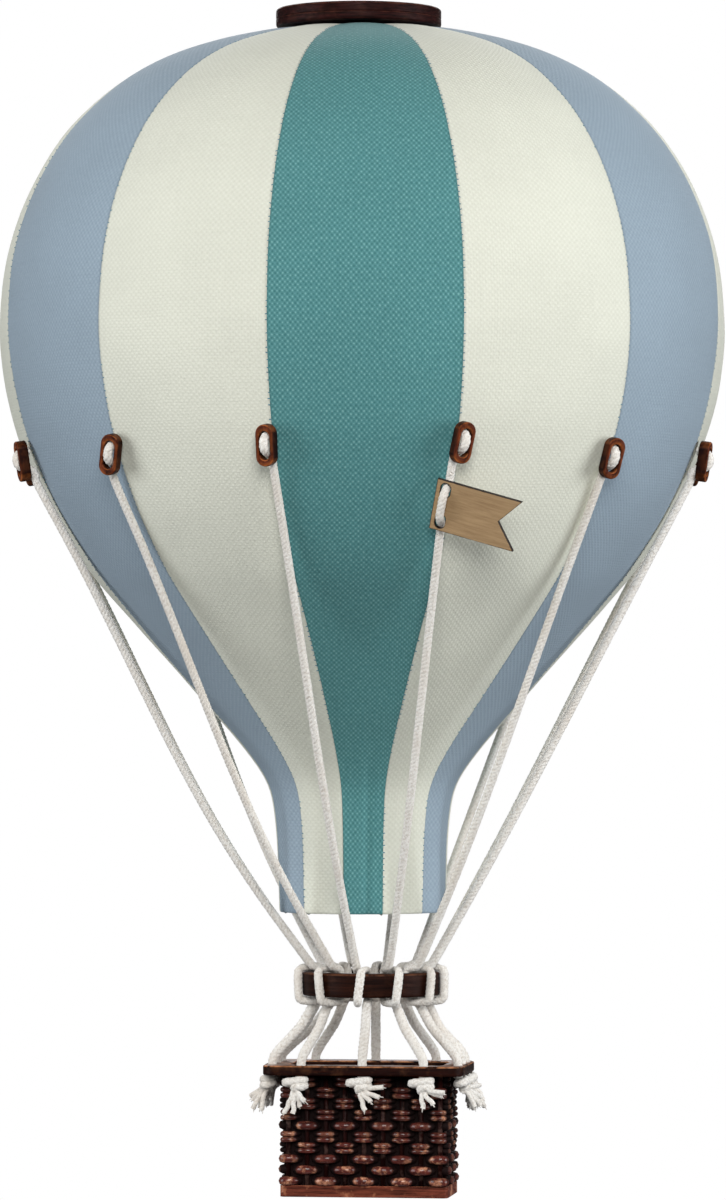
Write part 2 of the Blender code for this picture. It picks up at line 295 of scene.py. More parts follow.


# Woods: how fine the grain is each way, colours of fibre, streak, and of worn edges that also carry a
# painted highlight
woodSettings = {
    "disc": {"grain": (70, 420, 1500), "dark": (0.003, 0.001, 0.001), "streak": (0.034, 0.008, 0.007),
             "wornAndHighlight": (0.26, 0.100, 0.060), "wearAndHighlight": 0.25, "blotchAndGlint": 0.05, "rough": 0.36},
    "ring": {"grain": (50, 50, 1100), "dark": (0.004, 0.001, 0.001), "streak": (0.030, 0.009, 0.005),
             "wornAndHighlight": (0.30, 0.120, 0.060), "wearAndHighlight": 0.30, "blotchAndGlint": 0.05, "rough": 0.38},
    "rim": {"grain": (60, 380, 1300), "dark": (0.003, 0.001, 0.001), "streak": (0.022, 0.005, 0.003),
            "wornAndHighlight": (0.50, 0.200, 0.085), "wearAndHighlight": 1.0, "blotchAndGlint": 0.08, "rough": 0.34, "topWearAndHighlight": 0.55},
    "base": {"grain": (60, 380, 1300), "dark": (0.020, 0.004, 0.003), "streak": (0.240, 0.060, 0.034),
             "wornAndHighlight": (0.56, 0.220, 0.110), "wearAndHighlight": 0.50, "blotchAndGlint": 0.70, "rough": 0.36},
    "eyelet": {"grain": (620, 620, 90), "dark": (0.014, 0.003, 0.002), "streak": (0.130, 0.026, 0.010),
               "wornAndHighlight": (0.52, 0.160, 0.045), "wearAndHighlight": 0.70, "blotchAndGlint": 0.20, "rough": 0.32, "both": True},
    # The stake's pale worn spots are painted glints
    "stake": {"grain": (900, 900, 60), "dark": (0.006, 0.002, 0.002), "streak": (0.026, 0.006, 0.005),
              "wornAndHighlight": (0.42, 0.26, 0.22), "wearAndHighlight": 0.0, "blotchAndGlint": 0.16, "rough": 0.30},
}


def makeWood(name, look):
    mat, tree, shader = newMaterial(name + "Wood")
    spot = coordinates(tree, "Object")
    grain = addGroup(tree, grainGroup, {"Vector": addMapping(tree, spot, look["grain"]), "Waviness": 0.8})
    colour = addMix(tree, grain["Streaks"], look["dark"], look["streak"])
    colour = addMix(tree, multiply(tree, grain["Pores"], 0.7), colour, [v * 0.4 for v in look["dark"]])
    # Worn edges, with a painted highlight, where the surface turns from upright to level, on the upper edges
    # or on both; level tops get little of it, the rim's top more
    rise = splitVector(tree, addNode(tree, "ShaderNodeNewGeometry").outputs["Normal"])[2]
    if look.get("both"):
        rise = addMath(tree, "ABSOLUTE", rise)
    turned = multiply(tree, addRange(tree, rise, 0.08, 0.40),
                      addRange(tree, rise, 0.85, 1.0, 1.0, look.get("topWearAndHighlight", 0.05)))
    patchy = addRange(tree, addNoise(tree, spot, 420.0, 3.0, 0.6), 0.36, 0.62)
    # Random pale patches: tone on most woods, painted glints on the stakes
    blotchAndGlint = addRange(tree, addNoise(tree, spot, 230.0, 3.0, 0.6), 0.52, 0.68, 0.0, look["blotchAndGlint"])
    wearAndHighlight = addMath(tree, "MAXIMUM", multiply(tree, turned, patchy, look["wearAndHighlight"]), blotchAndGlint)
    # Painted shade: sunk walls, marked on the mesh, stay nearly black
    wall = meshMark(tree, "wall")
    wearAndHighlight = multiply(tree, wearAndHighlight, addRange(tree, wall, 0.0, 1.0, 1.0, 0.25))
    colour = addMix(tree, multiply(tree, wall, 0.92), colour, (0.004, 0.001, 0.001))
    plug(tree, shader, {
        "Base Color": addMix(tree, wearAndHighlight, colour, look["wornAndHighlight"]),
        "Roughness": addRange(tree, grain["Streaks"], 0.0, 1.0, look["rough"] + 0.16, look["rough"]),
        "Coat Weight": addRange(tree, wearAndHighlight, 0.1, 0.6, 0.0, 0.3),
        "Coat Roughness": 0.15, "Specular IOR Level": 0.05,
        "Normal": addBump(tree, grain["Height"], 0.35, 0.00008)})
    return mat


# Reeds: colours, half the basket's size, how far out a reed goes from painted shade to its own colour, and a
# painted shade under the rim
reedSettings = {
    "gap": (0.008, 0.002, 0.0018), "dark": (0.030, 0.005, 0.004), "brown": (0.150, 0.030, 0.022),
    "wornAndHighlight": (0.62, 0.280, 0.160), "halfWidth": 0.0237, "halfDepth": 0.0121, "deep": -0.0004,
    "crest": 0.0004, "shadeFrom": -0.322, "shadeTo": -0.299, "shade": 0.55,
}


def makeReed(look):
    mat, tree, shader = newMaterial("varnishedReed")
    spot = coordinates(tree, "Object")
    fibre = addGroup(tree, grainGroup, {"Vector": addMapping(tree, spot, (260, 260, 1900)), "Waviness": 0.6})
    # Outness: how far a point stands out of the basket's wall
    hung = {"Vector": spot, "Location": (basketHang["x"] * mm, 0.0, 0.0),
            "Rotation": (0.0, 0.0, math.radians(basketHang["turn"]))}
    parts = splitVector(tree, addNode(tree, "ShaderNodeMapping", hung, vector_type="TEXTURE").outputs[0])
    outX = addMath(tree, "SUBTRACT", addMath(tree, "ABSOLUTE", parts[0]), look["halfWidth"])
    outY = addMath(tree, "SUBTRACT", addMath(tree, "ABSOLUTE", parts[1]), look["halfDepth"])
    outness = addRange(tree, addMath(tree, "MAXIMUM", outX, outY), look["deep"], look["crest"])
    colour = addMix(tree, fibre["Streaks"], look["dark"], look["brown"])
    # Pale patches on the beans: some real rubbing, mostly painted highlights
    rubAndHighlight = addRange(tree, addNoise(tree, spot, 480.0, 3.0, 0.65), 0.49, 0.66)
    slow = addRange(tree, addNoise(tree, spot, 150.0, 1.0), 0.36, 0.60, 0.15, 0.95)
    colour = addMix(tree, multiply(tree, rubAndHighlight, slow), colour, look["wornAndHighlight"])
    # Painted shade: reed parts sunk into the wall take the near-black gap colour
    colour = addMix(tree, outness, look["gap"], colour)
    shade = addRange(tree, parts[2], look["shadeFrom"], look["shadeTo"], 1.0, look["shade"])
    plug(tree, shader, {
        "Base Color": darkened(tree, colour, shade),
        "Roughness": addRange(tree, outness, 0.2, 1.0, 0.75, 0.32),
        "Coat Weight": addRange(tree, outness, 0.3, 1.0, 0.0, 0.6),
        "Coat Roughness": 0.15, "Specular IOR Level": 0.12,
        "Normal": addBump(tree, fibre["Height"], 0.4, 0.00006)})
    return mat


ropeColours = {"shade": (0.58, 0.53, 0.47), "fibre": (0.83, 0.81, 0.77), "stain": (0.66, 0.59, 0.51)}


def makeRopeCotton(look):
    mat, tree, shader = newMaterial("twistedCotton")
    fibre = addGroup(tree, fibreGroup, {"Vector": coordinates(tree, "Object"), "Scale": 1500.0})
    fuzz = addRange(tree, fibre["Fuzz"], 0.34, 0.54)
    stain = addRange(tree, fibre["Stain"], 0.45, 0.75, 0.0, 0.6)
    plug(tree, shader, {
        "Base Color": addMix(tree, stain, addMix(tree, fuzz, look["shade"], look["fibre"]), look["stain"]),
        "Roughness": addRange(tree, fibre["Fuzz"], 0.0, 1.0, 0.98, 0.84),
        "Sheen Weight": 0.2, "Sheen Roughness": 0.6, "Specular IOR Level": 0.2,
        "Normal": addBump(tree, fibre["Fuzz"], 0.6, 0.00012)})
    return mat


cottons = {name: makeFabric(name, fabricSettings[name], fabricSettings)
           for name in ("teal", "cream", "blue")}
woods = {name: makeWood(name, look) for name, look in woodSettings.items()}
reedMaterial = makeReed(reedSettings)
ropeMaterial = makeRopeCotton(ropeColours)
print("materials made")


def finishMesh(bm, name, material, slotName, nodes=(), body="balloon", smooth=True):
    # Millimetres become metres, and the mesh becomes a piece that rides on its body
    bmesh.ops.scale(bm, vec=(mm, mm, mm), verts=bm.verts)
    mesh = bpy.data.meshes.new(name)
    bm.to_mesh(mesh)
    bm.free()
    if smooth:
        mesh.shade_smooth()
    mesh.materials.append(material)
    return dressPiece(bpy.data.objects.new(name, mesh), slotName, nodes, body)


def dressPiece(piece, slotName, nodes, body):
    bpy.context.scene.collection.objects.link(piece)
    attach(piece, body)
    if nodes:
        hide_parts(*nodes)
    return piece


def evenNormals(piece):
    # Keeps flat faces flat next to rounded edges
    keep = piece.modifiers.new("evenNormals", "WEIGHTED_NORMAL")
    keep.mode = "FACE_AREA"
    keep.keep_sharp = False


def strandPlaces(way, strands, lay, offset):
    # The lines of a rope's strands, wound around its way; the fourth number is the share of its thickness
    lines = [[] for _ in range(strands)]
    tangent = (way[1] - way[0]).xyz.normalized()
    side = tangent.orthogonal().normalized()
    run = 0.0
    for i, spot in enumerate(way):
        ahead = (way[min(i + 1, len(way) - 1)] - way[max(i - 1, 0)]).xyz.normalized()
        side = (side - ahead * side.dot(ahead)).normalized()
        up = ahead.cross(side)
        if i:
            run += (spot - way[i - 1]).xyz.length
        for k in range(strands):
            a = 2 * math.pi * (run / lay + k / strands)
            out = (side * math.cos(a) + up * math.sin(a)) * offset * spot.w
            lines[k].append((spot.xyz + out, spot.w))
    return lines


def makeStrands(name, lines, radius, nodes=(), body="balloon", finish=None, closed=False):
    # A curve piece of several round strands; every line is a list of places and thickness shares
    material, slotName = finish or (ropeMaterial, "rope")
    curve = bpy.data.curves.new(name, "CURVE")
    curve.dimensions = "3D"
    curve.bevel_depth = radius * mm
    curve.bevel_resolution = 2
    curve.use_fill_caps = not closed
    for line in lines:
        spline = curve.splines.new("POLY")
        spline.points.add(len(line) - 1)
        for point, (spot, share) in zip(spline.points, line):
            point.co = (*(spot * mm), 1.0)
            point.radius = share
        spline.use_cyclic_u = closed
        spline.use_smooth = True
    curve.materials.append(material)
    return dressPiece(bpy.data.objects.new(name, curve), slotName, nodes, body)


# Ropes: twelve stays, each through its eyelet, down to the ring, around it and down to the rim
ropeSettings = {
    "strands": 4, "lay": 5.0, "offset": 0.48, "strandRadius": 0.79, "step": 0.6,
    "eyeletR": 96.9, "eyeletZ": -126.3, "eyeletRise": 0.37, "eyeletTilt": 8.5,
    "sagOut": 2.1, "sagDown": 1.2, "sagLow": 1.7, "stretchSteps": 7, "landRadius": 18.5,
    "landHeight": 3.7, "landAside": 1.5, "ringX": 2.4, "ringTop": -267.8, "ringBottom": -274.5,
    "rimTop": -293.4, "rimThick": 2.8, "upperShare": 0.94, "lowerShare": 1.12,
    "holeAbove": 1.0, "holeBelow": 0.4, "holeShare": 1.05,
}
# Eyelet's angle, height, facing and lean, angle on the ring, hole x and y in the basket's rim,
# outward side, side it leads on, how far its stretch drifts towards +X
stayColumns = ("name", "angle", "height", "facing", "lean", "ringAngle", "holeX", "holeY", "outward",
               "lead", "drift")
stays = [dict(zip(stayColumns, row)) for row in (
    ("stay_01", 15.7, -124.4, 28.0, 9.0, 21, 17.0, -14.3, (0, -1), -1, -0.4),
    ("stay_02", 43.8, -127.6, 28.0, 11.0, 53, 25.85, -8.6, (1, 0), -1, -0.9),
    ("stay_03", 76.0, -126.8, 76.0, 0.0, 81, 25.85, 0.0, (1, 0), -1, -1.8),
    ("stay_04", 105.0, -126.3, 105.0, 0.0, 109, 25.85, 8.6, (1, 0), -1, -1.8),
    ("stay_05", 135.0, -126.3, 135.0, 0.0, 139, 17.0, 14.3, (0, 1), -1, -1.8),
    ("stay_06", 165.0, -126.3, 165.0, 0.0, 170, 0.0, 14.3, (0, 1), -1, -0.8),
    ("stay_07", 195.0, -126.3, 195.0, 0.0, 203, -17.0, 14.3, (0, 1), -1, 0.0),
    ("stay_08", 225.0, -126.3, 225.0, 0.0, 228, -25.85, 8.6, (-1, 0), 1, -1.2),
    ("stay_09", 255.0, -126.3, 255.0, 0.0, 256, -25.85, 0.0, (-1, 0), 1, -1.8),
    ("stay_10", 285.5, -126.8, 285.5, 0.0, 282, -25.85, -8.6, (-1, 0), 1, -1.8),
    ("stay_11", 316.0, -126.6, 332.0, 11.0, 316, -17.0, -14.3, (0, -1), 1, -1.2),
    ("stay_12", 345.0, -125.1, 332.0, 2.0, 351, 0.0, -14.3, (0, -1), -1, -0.2),
)]
# Down the eyelet, out of it and thickness share
eyeletWay = [(-2.6, -2.1, 1.0), (-2.6, -0.4, 1.0), (-1.4, 1.3, 1.05), (0.6, 1.4, 1.05), (1.9, 0.1, 1.0),
             (2.4, -1.5, 1.0), (3.3, -2.7, 0.95), (5.0, -3.05, 0.94), (7.6, -3.5, 0.94)]
# Radius from the ring's middle, height above its top or its bottom, sideways, thickness share
ringWay = [
    (16.4, "ringTop", 1.5, 1.55, 0.94), (14.2, "ringTop", 1.0, 1.6, 0.9),
    (13.6, "ringTop", -0.5, 1.6, 0.9), (13.6, "ringBottom", 0.5, 1.6, 0.9),
    (14.1, "ringBottom", -1.1, 1.55, 0.9), (15.7, "ringBottom", -1.45, 1.3, 0.9),
    (18.4, "ringBottom", -1.45, 0.8, 0.9), (20.2, "ringBottom", -1.0, 0.55, 0.95),
    (20.6, "ringBottom", 0.5, 0.4, 1.0), (20.6, "ringTop", -0.5, -0.35, 1.0),
    (20.0, "ringTop", 0.7, -0.55, 0.85), (18.4, "ringTop", 1.05, -0.95, 0.72),
    (16.0, "ringTop", 1.05, -1.2, 0.72), (14.2, "ringTop", 0.8, -1.3, 0.8),
    (13.5, "ringTop", -0.5, -1.3, 0.9), (13.5, "ringBottom", 0.6, -1.3, 0.95),
    (14.1, "ringBottom", -1.0, -1.3, 1.0), (15.7, "ringBottom", -2.1, -1.35, 1.08),
]
# Shares of the way down to the rim's hole and of the way over to it
dropWay = [(0.12, 0.10), (0.40, 0.33), (0.65, 0.64), (0.85, 0.89), (1.0, 1.0)]


def eyeletPlace(stay, look):
    # An eyelet's own axes: across it, up along its slot and out of its face
    out, _ = direction(stay["angle"])
    radius = look["eyeletR"] + look["eyeletRise"] * (stay["height"] - look["eyeletZ"])
    return (Matrix.Translation(out * radius + Vector((0, 0, stay["height"])))
            @ Matrix.Rotation(math.radians(stay["facing"]), 4, "Z")
            @ Matrix.Rotation(math.radians(90 + look["eyeletTilt"]), 4, "X")
            @ Matrix.Rotation(math.radians(-stay["lean"]), 4, "Z"))


def basketPlace(z):
    # The basket's own axes, at a height
    return (Matrix.Translation((basketHang["x"], 0, z))
            @ Matrix.Rotation(math.radians(basketHang["turn"]), 4, "Z"))


def basketPoint(x, y, z):
    return basketPlace(z) @ Vector((x, y, 0))


def ringPoint(angle, radius, z, sideways):
    out, side = direction(angle)
    return Vector((ropeSettings["ringX"], 0, z)) + out * radius + side * sideways


def stretchWay(stay, start, look):
    # The free stretch from start to the ring, sagging most below its middle
    end = ringPoint(stay["ringAngle"], look["landRadius"], look["ringTop"] + look["landHeight"],
                    stay["lead"] * look["landAside"])
    out, _ = direction((stay["angle"] + stay["ringAngle"]) / 2)
    sag = out * look["sagOut"] + Vector((stay["drift"], 0, -look["sagDown"]))
    way = []
    for k in range(1, look["stretchSteps"] + 1):
        share = k / look["stretchSteps"]
        spot = start.lerp(end, share) + sag * math.sin(math.pi * share ** look["sagLow"])
        way.append(Vector((*spot, look["upperShare"])))
    return way


def stayWay(stay, look, start=None):
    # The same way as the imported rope, ending in its hole through the rim
    place = eyeletPlace(stay, look)
    head = [Vector((*(place @ Vector((0, -down, outBy))), share)) for down, outBy, share in eyeletWay]
    rest = stretchWay(stay, start or head[-1].xyz, look)
    for radius, level, above, sideways, share in ringWay:
        spot = ringPoint(stay["ringAngle"], radius, look[level] + above, stay["lead"] * sideways)
        rest.append(Vector((*spot, share)))
    under = rest[-1].xyz
    hole = basketPoint(stay["holeX"], stay["holeY"], look["rimTop"] + look["holeAbove"])
    for down, over in dropWay:
        spot = under.lerp(hole, over)
        spot.z = under.z + (hole.z - under.z) * down
        rest.append(Vector((*spot, look["lowerShare"])))
    rest[-1].w = look["holeShare"]
    low = look["rimTop"] - look["rimThick"] - look["holeBelow"]
    rest.append(Vector((*basketPoint(stay["holeX"], stay["holeY"], low), 1.0)))
    return head, rest


def makeRope(name, way, node, look, body="balloon"):
    lines = strandPlaces(smoothWay(way, look["step"]), look["strands"], look["lay"], look["offset"])
    makeStrands(name, lines, look["strandRadius"], [node], body)


# The tag's stretch of the first rope: along it and out of it, in the tag's own axes
tagSettings = {
    "line": (-0.157, 0.430, -0.892), "swing": 32.0, "cordDown": 9.85, "cordAside": 0.35, "cordHalf": 9.0,
    "gap": 0.3, "offset": 1.95, "thick": 1.0, "left": -2.6, "right": 21.0, "notch": 15.6, "half": 7.2,
    "slitAt": 4.45, "slitWide": 2.9, "slitTall": 4.2, "burn": 0.26,
}
tagWay = [(-9.0, 0.0), (-7.0, 0.0), (-5.6, 0.85), (-4.4, 2.1), (-3.2, 3.3), (-1.9, 3.8),
          (1.9, 3.8), (3.2, 3.3), (4.4, 2.1), (5.6, 0.85), (7.0, 0.0), (9.0, 0.0)]


def tagFrame(look):
    # The middle of the tag's stretch, the way down along it, and the tag's own axes
    down, outBy, _ = eyeletWay[-1]
    along = Vector(look["line"]).normalized()
    leaves = eyeletPlace(stays[0], ropeSettings) @ Vector((0, -down, outBy))
    centre = leaves + along * look["cordDown"] + Vector((look["cordAside"], 0, 0))
    out, _ = direction(stays[0]["angle"])
    outward = (out - along * out.dot(along)).normalized()
    swing = math.radians(look["swing"])
    right = outward.cross(along) * math.cos(swing) + outward * math.sin(swing)
    axes = Matrix((right, -along, along.cross(right))).transposed().to_4x4()
    return centre, along, Matrix.Translation(centre) @ axes


tagCentre, tagAlong, tagPlace = tagFrame(tagSettings)


def makeRopes(look):
    for stay in stays[1:]:
        head, rest = stayWay(stay, look)
        makeRope(stay["name"] + "_rope", head + rest, stay["name"], look)


def makeTagRopes(look, tagLook):
    # The first rope is cut where the tag turns on it
    cut = tagAlong * (tagLook["cordHalf"] + tagLook["gap"] / 2)
    share = look["upperShare"]
    head, rest = stayWay(stays[0], look, tagCentre + cut)
    upper = head[:-1] + [Vector((*(tagCentre - cut), share))]
    makeRope("stay_01_upper_rope", upper, "stay_01_head", look)
    makeRope("stay_01_lower_rope", [Vector((*(tagCentre + cut), share))] + rest, "stay_01_tail", look)
    across = [Vector((*(tagPlace @ Vector((0, a, m))), share)) for a, m in tagWay]
    makeRope("tag_rope", across, "tag_cord", look, "tag")


makeTagRopes(ropeSettings, tagSettings)
makeRopes(ropeSettings)
print("ropes made")


# Knots and tassels under the rim. Ends are sideways, outwards and down from the rope's hole
tasselSettings = {"knotWide": 2.7, "knotDeep": 1.25, "knotTop": 0.7, "knotDrop": 2.4, "turns": 1.5,
                  "knotSteps": 12, "knotLay": 7.0, "rope": 1.05, "radius": 0.70, "curl": 0.2, "loose": 2,
                  "spare": 7, "spread": [(-4.5, 4.5), (1.5, 4.5), (6.0, 10.0)], "step": 0.5, "seed": 7,
                  "shiftOver": 0.7, "startTurn": 1.7, "startAside": 0.5, "startOut": 0.6,
                  "startDeep": 0.4, "startDown": 2.6, "midAside": 0.35, "midOut": 0.9, "midDeep": 0.4,
                  "midDown": 3.4, "midFall": 0.38, "curlStep": 1.1, "thin": 0.88, "grow": 0.14}
# How far a knot sits sideways of its hole and outwards of it
knotShift = {"stay_11": (-1.6, 0.2), "stay_12": (-0.8, 0.2), "stay_01": (-0.5, 0.2)}
tasselEnds = {
    "stay_01": [(0.75, 2.2, 8.7), (3.8, 2.6, 7.6), (6.5, 2.4, 4.3), (5.9, 1.2, 5.3)],
    "stay_02": [(8.4, 4.6, 3.1), (6.0, 4.6, 7.4), (1.8, 4.0, 9.2), (7.6, 3.4, 5.0), (3.9, 5.4, 8.4),
                (0.0, 4.4, 8.8), (6.8, 5.2, 6.2)],
    "stay_10": [(-3.6, 6.2, 6.3), (-1.0, 3.2, 9.6), (1.2, 2.4, 9.9), (-2.2, 4.6, 8.0), (-3.0, 5.6, 7.4),
                (0.4, 5.0, 9.6), (-4.0, 4.0, 5.2)],
    "stay_11": [(-2.8, 2.2, 10.4), (-0.3, 2.4, 10.4), (2.85, 2.6, 6.9), (1.6, 1.6, 8.6)],
    "stay_12": [(6.8, 2.2, 2.9), (6.0, 2.6, 5.7), (3.6, 2.4, 7.0), (1.8, 2.0, 9.4)],
}


def underHole(stay):
    # Places under a rope's hole, by how far sideways, outwards and down
    under = ropeSettings["rimTop"] - ropeSettings["rimThick"]
    hole = basketPoint(stay["holeX"], stay["holeY"], under)
    away = basketPlace(0).to_3x3() @ Vector((*stay["outward"], 0))
    aside = Vector((-away.y, away.x, 0))
    shiftAside, shiftOut = knotShift.get(stay["name"], (0.0, 0.5))

    def place(sideways, outBy, down):
        below = clamped(down / tasselSettings["shiftOver"])
        return (hole + aside * (sideways + shiftAside * below) + away * (outBy + shiftOut * below)
                - Vector((0, 0, down)))

    return place, aside


def makeKnot(stay, look):
    place, _ = underHole(stay)
    loop = [place(0, 0, -0.6), place(0, 0.1, 0.2)]
    for k in range(1, look["knotSteps"] + 1):
        share = k / look["knotSteps"]
        a = look["turns"] * 2 * math.pi * share
        loop.append(place(look["knotWide"] * math.sin(a), 0.7 - look["knotDeep"] * math.cos(a),
                          look["knotTop"] + look["knotDrop"] * share))
    loop.append(place(0.2, 0.6, look["knotTop"] + look["knotDrop"] + 1.2))
    way = smoothWay([Vector((*spot, look["rope"])) for spot in loop], look["step"])
    rope = ropeSettings
    lines = strandPlaces(way, rope["strands"], look["knotLay"], rope["offset"] * 0.8)
    makeStrands(stay["name"].replace("stay", "knot"), lines, rope["strandRadius"])


def makeTassel(stay, look, rng):
    place, aside = underHole(stay)
    ends = tasselEnds.get(stay["name"]) or [
        [rng.uniform(*span) for span in look["spread"]] for _ in range(look["spare"])]
    lines = []
    for k, (sideways, outBy, down) in enumerate(ends):
        a = k * look["startTurn"]
        start = place(look["startAside"] * math.sin(a), look["startOut"] + look["startDeep"] * math.cos(a),
                      look["startDown"])
        middle = place(sideways * look["midAside"], look["midOut"] + outBy * look["midDeep"],
                       look["midDown"] + (down - look["midDown"]) * look["midFall"])
        end = place(sideways, outBy, down)
        way = smoothWay([start, middle, end], look["step"])
        phase = rng.uniform(0, 6.28)
        line = []
        for i, spot in enumerate(way):
            t = i / (len(way) - 1)
            curl = look["curl"] * t * math.sin(phase + look["curlStep"] * i)
            line.append((spot + aside * curl, look["thin"] + look["grow"] * t))
        lines.append(line)
        # Loose fibres at the strand's end
        heading = (way[-1] - way[-3]).normalized()
        for _ in range(look["loose"]):
            loose = Vector([rng.uniform(-1, 1) for _ in range(3)])
            tip = end + heading * rng.uniform(0.3, 0.9) + loose * 0.5
            lines.append([(end + loose * 0.2 - heading * 0.8, 0.2), (end + loose * 0.35, 0.2), (tip, 0.12)])
    makeStrands(stay["name"].replace("stay", "tassel"), lines, look["radius"])


rng = random.Random(tasselSettings["seed"])
for stay in stays:
    makeKnot(stay, tasselSettings)
    makeTassel(stay, tasselSettings, rng)
print("knots and tassels made")


# Envelope: radius and height of the fabric, hem rolled in at the mouth
goreSettings = {
    "count": 12, "turn": 0.5, "rowStep": 4.0, "body": 12, "roll": 0.6, "rollSteps": 3, "tuck": 0.12,
    "scallopTop": 3.4, "scallopReach": 28.0, "scallopNeck": 0.3, "neckAt": -205.0, "neckReach": 17.0,
    "flange": 2.0, "flangeFrom": 12.0, "crownFlange": 0.5, "thick": 0.45, "clothShift": 80.0,
    "colours": ["teal", "cream", "blue", "cream"],
    "outline": [
        (6, -5.5), (23, -6.1), (34.4, -8.0), (44.7, -10.5), (55.5, -14.2), (65.6, -19.5), (74, -25.9),
        (81.8, -33.8), (88.2, -42.9), (93.2, -52.5), (96.9, -62.5), (99.4, -73.3), (100.5, -86),
        (100.5, -95), (99.1, -106.2), (96.4, -117.5), (92.9, -127), (88.6, -136.5), (83, -146.3),
        (75.5, -157.2), (68.8, -165), (55, -180.6), (41.2, -196.3), (34.4, -204), (28.6, -211.5),
        (25.6, -217), (24.3, -223.5), (23.5, -232), (22.9, -249.6)],
    "hem": [(22.85, -250.8), (22.6, -251.3), (22.2, -251.3), (21.95, -250.8), (21.9, -249.8),
            (21.9, -246.0)],
}
# Slow and near unevenness, then folds below a height in the neck, one of them deep and in front
foldSettings = {"slowSize": 0.028, "slow": 0.55, "nearSize": 0.075, "near": 0.16, "nearShift": 300,
                "calmWithin": 40.0, "from": -198.0, "over": 30.0, "folds": 7.0, "bend": 25.0,
                "bendSize": 0.06, "ripple": 4.0, "fold": 0.55, "deep": 1.5, "deepAt": 3.2,
                "deepLean": 0.03, "deepFoot": -250.0, "deepWide": 2.4, "deepWithin": 30}
# How many degrees a seam strays at the crown and at the neck, by its place around the front
seamDrift = {15: (0.0, -1.2), -15: (0.0, 1.5), 45: (0.0, 1.5), -45: (0.0, -0.5), 75: (5.0, 7.0),
             -75: (-5.0, -7.0)}
# Heights where a seam begins to stray, and over how much it grows
driftReach = {"crownFrom": -115.0, "crownOver": 85.0, "neckFrom": -140.0, "neckOver": 65.0}


def crease(angle, spot, away, look):
    # How far the cloth leaves the smooth shape
    slow = noise.noise(Vector(spot) * look["slowSize"]) * look["slow"]
    shifted = Vector((spot.x + look["nearShift"], spot.y, spot.z))
    near = noise.noise(shifted * look["nearSize"]) * look["near"]
    neck = clamped((look["from"] - spot.z) / look["over"])
    wave = math.radians(angle * look["folds"] + look["bend"] * math.sin(spot.z * look["bendSize"]))
    fold = look["fold"] * math.cos(wave) * math.cos(away * look["ripple"])
    if abs(angle) < look["deepWithin"]:
        line = look["deepAt"] + look["deepLean"] * (spot.z - look["deepFoot"])
        fold -= look["deep"] * math.exp(-((angle - line) / look["deepWide"]) ** 2)
    return (slow + near) * min(1.0, spot.xy.length / look["calmWithin"]) + fold * neck


def seamPlace(number):
    # The angle of a seam, from -180 to 180; seam 0 is the one before the front gore
    return round((number * 30 - 15 + 180) % 360 - 180)


def strayed(seamAt, z):
    # A seam's drift at a height
    crown, neck = seamDrift.get(seamAt, (0.0, 0.0))
    reach = driftReach
    return (crown * eased((z - reach["crownFrom"]) / reach["crownOver"])
            + neck * eased((reach["neckFrom"] - z) / reach["neckOver"]))


def scallop(z, look):
    # How far the seams draw in at the crown and where the neck begins
    crown = look["scallopTop"] * math.exp(z / look["scallopReach"])
    return crown + look["scallopNeck"] * math.exp(-((z - look["neckAt"]) / look["neckReach"]) ** 2)


def vertsOf(made):
    return [v for v in made["geom"] if isinstance(v, bmesh.types.BMVert)]


def spinGore(bm, line, start, half, look):
    # The outline turned across one gore, in narrow steps beside its seams
    run = bm.verts.layers.float["run"]
    out, _ = direction(start)
    profile, along = [], 0.0
    for i, spot in enumerate(line):
        along += (spot - line[i - 1]).length if i else 0.0
        vert = bm.verts.new(out * spot.x + Vector((0, 0, spot.y)))
        vert[run] = along
        profile.append(vert)
    edges = [bm.edges.new(pair) for pair in zip(profile, profile[1:])]
    side = (look["roll"], look["rollSteps"])
    for angle, steps in (side, (2 * half - 2 * look["roll"], look["body"]), side):
        turned = bmesh.ops.spin(bm, geom=edges, cent=(0, 0, 0), axis=(0, 0, 1), angle=math.radians(angle),
                                steps=steps)
        edges = [e for e in turned["geom_last"] if isinstance(e, bmesh.types.BMEdge)]


def drapeGore(bm, index, middle, half, look):
    # Cloth drawn in at its seams, with its folds, between seams that stray
    across, seam = bm.verts.layers.float["across"], bm.verts.layers.float["seam"]
    low, high = seamPlace(index), seamPlace(index + 1)
    centre, aside = direction(middle)
    for vert in bm.verts:
        angle = math.degrees(math.atan2(vert.co.dot(aside), vert.co.dot(centre)))
        radius = vert.co.xy.length
        vert[across] = radius * math.radians(angle)
        edge = clamped((half - abs(angle)) / look["roll"])
        vert[seam] = 1.0 - edge
        sink = look["tuck"] * (1.0 - edge) ** 2 + scallop(vert.co.z, look) * (angle / half) ** 2
        lift = crease(middle + angle, vert.co, angle / half, foldSettings) * (0.35 + 0.65 * edge)
        share = 0.5 + 0.5 * angle / half
        turnBy = strayed(low, vert.co.z) * (1.0 - share) + strayed(high, vert.co.z) * share
        flat = vert.co.xy * ((radius + lift - sink) / radius)
        vert.co.xy = Matrix.Rotation(math.radians(turnBy), 2) @ flat


def turnInSeams(bm, look):
    # Both long edges go on inwards as turnings
    across, seam = bm.verts.layers.float["across"], bm.verts.layers.float["seam"]
    sharp = bm.edges.layers.float["crease_edge"]
    for sign in (1, -1):
        rim = [e for e in bm.edges if e.is_boundary and all(
            v[seam] > 0.99 and v[across] * sign > 0 for v in e.verts)]
        for edge in rim:
            edge[sharp] = 1.0
        for vert in vertsOf(bmesh.ops.extrude_edge_only(bm, edges=rim)):
            depth = look["flange" if vert.co.xy.length > look["flangeFrom"] else "crownFlange"]
            vert.co.xy *= (vert.co.xy.length - depth) / vert.co.xy.length
            vert[across] += sign * depth


